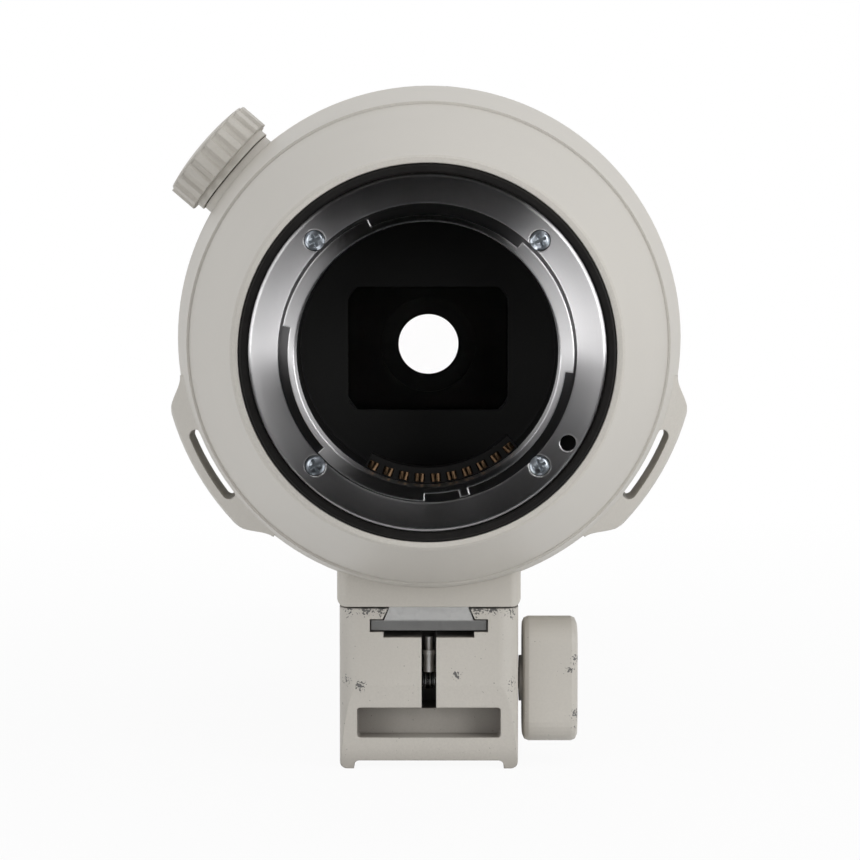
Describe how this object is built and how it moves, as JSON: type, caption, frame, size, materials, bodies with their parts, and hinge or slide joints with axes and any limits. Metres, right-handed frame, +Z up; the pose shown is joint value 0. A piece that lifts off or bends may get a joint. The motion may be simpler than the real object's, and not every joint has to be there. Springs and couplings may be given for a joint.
{
  "type": "camera zoom lens",
  "caption": "Long internal-zoom telephoto lens with a bayonet mount, a rotating tripod collar with strap lugs and a removable clamp-on foot.",
  "frame": {"origin": "centre of the mount's seat plane on the optical axis", "axes": "+Y forward along the optical axis to the front element, +X right seen from behind, +Z up; the tripod foot points to -Z"},
  "size_m": [0.1115, 0.3236, 0.1334],
  "materials": {
    "paint_metal": "satin",
    "paint_shell": "satin",
    "dark_metal": "matte",
    "dark_plastic": "matte",
    "blade_plastic": "matte",
    "grey_plastic": "satin",
    "coated_glass": "polished",
    "steel": "satin",
    "seal_rubber": "matte",
    "grip_rubber": "matte",
    "gold": "satin",
    "board": "satin",
    "panel_plastic": "satin",
    "bare_aluminium": "satin"
  },
  "bodies": {
    "barrel": {"mount_ring": "steel", "mount_screws": "steel", "mount_seal": "seal_rubber", "contact_block": "dark_plastic", "contact_pins": "gold", "rear_baffle": "dark_plastic", "rear_cover": "paint_metal", "circuit_board": "board", "rear_lens_cell": "dark_metal", "rear_lens": "coated_glass", "iris_housing": "dark_plastic", "collar_sleeve": "dark_metal", "mid_barrel": "paint_shell", "switch_plate": "panel_plastic", "button_band": "paint_shell", "guide_tube": "dark_metal", "focus_rods": "steel", "front_barrel": "paint_shell", "front_lens_cell": "dark_plastic", "front_lens": "coated_glass", "front_retaining_ring": "dark_plastic", "filter_ring": "dark_metal"},
    "collar": {"tripod_collar": "paint_metal", "dovetail_plate": "bare_aluminium", "dovetail_screws": "steel"},
    "collar_lock": {"collar_knob": "paint_metal", "collar_lock_screw": "steel"},
    "tripod_foot": {"foot": "paint_metal", "foot_stop_pin": "steel"},
    "foot_clamp": {"foot_knob": "paint_metal", "foot_clamp_screw": "steel"},
    "zoom_drive": {"zoom_ring": "paint_shell", "zoom_grip": "grip_rubber", "cam_tube": "dark_metal", "zoom_key": "steel"},
    "focus_control": {"focus_ring": "paint_shell", "focus_grip": "grip_rubber"},
    "variator": {"variator_cell": "dark_metal", "variator_lens": "coated_glass"},
    "compensator": {"compensator_cell": "dark_metal", "compensator_lens": "coated_glass"},
    "focus_group": {"focus_cell": "dark_metal", "focus_lens": "coated_glass"},
    "stabiliser_carrier": {"stabiliser_frame": "dark_metal"},
    "stabiliser_group": {"stabiliser_cell": "dark_metal", "stabiliser_lens": "coated_glass"},
    "iris_driver": {"iris_ring": "dark_metal"},
    "iris_blade_1": {"iris_blade_1": "blade_plastic"},
    "iris_blade_2": {"iris_blade_2": "blade_plastic"},
    "iris_blade_3": {"iris_blade_3": "blade_plastic"},
    "iris_blade_4": {"iris_blade_4": "blade_plastic"},
    "iris_blade_5": {"iris_blade_5": "blade_plastic"},
    "iris_blade_6": {"iris_blade_6": "blade_plastic"},
    "focus_mode_switch": {"focus_mode_switch": "dark_plastic"},
    "focus_limit_switch": {"focus_limit_switch": "dark_plastic"},
    "stabiliser_switch": {"stabiliser_switch": "dark_plastic"},
    "stabiliser_mode_switch": {"stabiliser_mode_switch": "dark_plastic"},
    "hold_button_right": {"hold_button_right": "grey_plastic"},
    "hold_button_top": {"hold_button_top": "grey_plastic"},
    "hold_button_left": {"hold_button_left": "grey_plastic"}
  },
  "joints": [
    {"name": "collar_turn", "type": "hinge", "parent": "barrel", "child": "collar", "pos_m": [0, 0.072, 0], "axis": [0, 1, 0], "continuous": true},
    {"name": "collar_knob_turn", "type": "hinge", "parent": "collar", "child": "collar_lock", "pos_m": [-0.0365, 0.082, 0.03117], "axis": [-0.7604, 0, 0.6494], "range_deg": [0, 360]},
    {"name": "foot_slide", "type": "slide", "parent": "collar", "child": "tripod_foot", "axis": [0, -1, 0], "range_m": [0, 0.042]},
    {"name": "foot_knob_turn", "type": "hinge", "parent": "tripod_foot", "child": "foot_clamp", "pos_m": [0.02, 0.073, -0.0623], "axis": [1, 0, 0], "range_deg": [0, 360]},
    {"name": "zoom_turn", "type": "hinge", "parent": "barrel", "child": "zoom_drive", "pos_m": [0, 0.24, 0], "axis": [0, 1, 0], "range_deg": [0, 70]},
    {"name": "variator_slide", "type": "slide", "parent": "barrel", "child": "variator", "axis": [0, 1, 0], "range_m": [0, 0.03425]},
    {"name": "compensator_slide", "type": "slide", "parent": "barrel", "child": "compensator", "axis": [0, 1, 0], "range_m": [0, 0.01715]},
    {"name": "focus_turn", "type": "hinge", "parent": "barrel", "child": "focus_control", "pos_m": [0, 0.165, 0], "axis": [0, 1, 0], "continuous": true},
    {"name": "focus_drive", "type": "slide", "parent": "barrel", "child": "focus_group", "axis": [0, 1, 0], "range_m": [-0.01, 0.01]},
    {"name": "stabiliser_sideways", "type": "slide", "parent": "barrel", "child": "stabiliser_carrier", "axis": [1, 0, 0], "range_m": [-0.001, 0.001], "stiffness_N_per_m": 2000},
    {"name": "stabiliser_upright", "type": "slide", "parent": "stabiliser_carrier", "child": "stabiliser_group", "axis": [0, 0, 1], "range_m": [-0.001, 0.001], "stiffness_N_per_m": 2000},
    {"name": "iris_turn", "type": "hinge", "parent": "barrel", "child": "iris_driver", "pos_m": [0, 0.05, 0], "axis": [0, -1, 0], "range_deg": [-15, 18]},
    {"name": "iris_blade_1_swing", "type": "hinge", "parent": "barrel", "child": "iris_blade_1", "pos_m": [0.0152, 0.0454, 0], "axis": [0, -1, 0], "range_deg": [-7.54, 9.05]},
    {"name": "iris_blade_2_swing", "type": "hinge", "parent": "barrel", "child": "iris_blade_2", "pos_m": [0.0076, 0.04585, 0.01316], "axis": [0, -1, 0], "range_deg": [-7.54, 9.05]},
    {"name": "iris_blade_3_swing", "type": "hinge", "parent": "barrel", "child": "iris_blade_3", "pos_m": [-0.0076, 0.0463, 0.01316], "axis": [0, -1, 0], "range_deg": [-7.54, 9.05]},
    {"name": "iris_blade_4_swing", "type": "hinge", "parent": "barrel", "child": "iris_blade_4", "pos_m": [-0.0152, 0.04675, 0], "axis": [0, -1, 0], "range_deg": [-7.54, 9.05]},
    {"name": "iris_blade_5_swing", "type": "hinge", "parent": "barrel", "child": "iris_blade_5", "pos_m": [-0.0076, 0.0472, -0.01316], "axis": [0, -1, 0], "range_deg": [-7.54, 9.05]},
    {"name": "iris_blade_6_swing", "type": "hinge", "parent": "barrel", "child": "iris_blade_6", "pos_m": [0.0076, 0.04765, -0.01316], "axis": [0, -1, 0], "range_deg": [-7.54, 9.05]},
    {"name": "focus_mode_switch_slide", "type": "slide", "parent": "barrel", "child": "focus_mode_switch", "axis": [0, 1, 0], "range_m": [0, 0.004]},
    {"name": "focus_limit_switch_slide", "type": "slide", "parent": "barrel", "child": "focus_limit_switch", "axis": [0, 1, 0], "range_m": [0, 0.004]},
    {"name": "stabiliser_switch_slide", "type": "slide", "parent": "barrel", "child": "stabiliser_switch", "axis": [0, 1, 0], "range_m": [0, 0.004]},
    {"name": "stabiliser_mode_switch_slide", "type": "slide", "parent": "barrel", "child": "stabiliser_mode_switch", "axis": [0, 1, 0], "range_m": [0, 0.004]},
    {"name": "hold_button_right_press", "type": "slide", "parent": "barrel", "child": "hold_button_right", "axis": [-1, 0, 0], "range_m": [0, 0.0008], "stiffness_N_per_m": 800},
    {"name": "hold_button_top_press", "type": "slide", "parent": "barrel", "child": "hold_button_top", "axis": [0, 0, -1], "range_m": [0, 0.0008], "stiffness_N_per_m": 800},
    {"name": "hold_button_left_press", "type": "slide", "parent": "barrel", "child": "hold_button_left", "axis": [1, 0, 0], "range_m": [0, 0.0008], "stiffness_N_per_m": 800}
  ],
  "couplings": [
    {"joint": "variator_slide", "follows": "zoom_turn", "m_per_rad": 0.028},
    {"joint": "compensator_slide", "follows": "zoom_turn", "m_per_rad": 0.014},
    {"joint": "iris_blade_1_swing", "follows": "iris_turn", "ratio": 0.5},
    {"joint": "iris_blade_2_swing", "follows": "iris_turn", "ratio": 0.5},
    {"joint": "iris_blade_3_swing", "follows": "iris_turn", "ratio": 0.5},
    {"joint": "iris_blade_4_swing", "follows": "iris_turn", "ratio": 0.5},
    {"joint": "iris_blade_5_swing", "follows": "iris_turn", "ratio": 0.5},
    {"joint": "iris_blade_6_swing", "follows": "iris_turn", "ratio": 0.5}
  ]
}
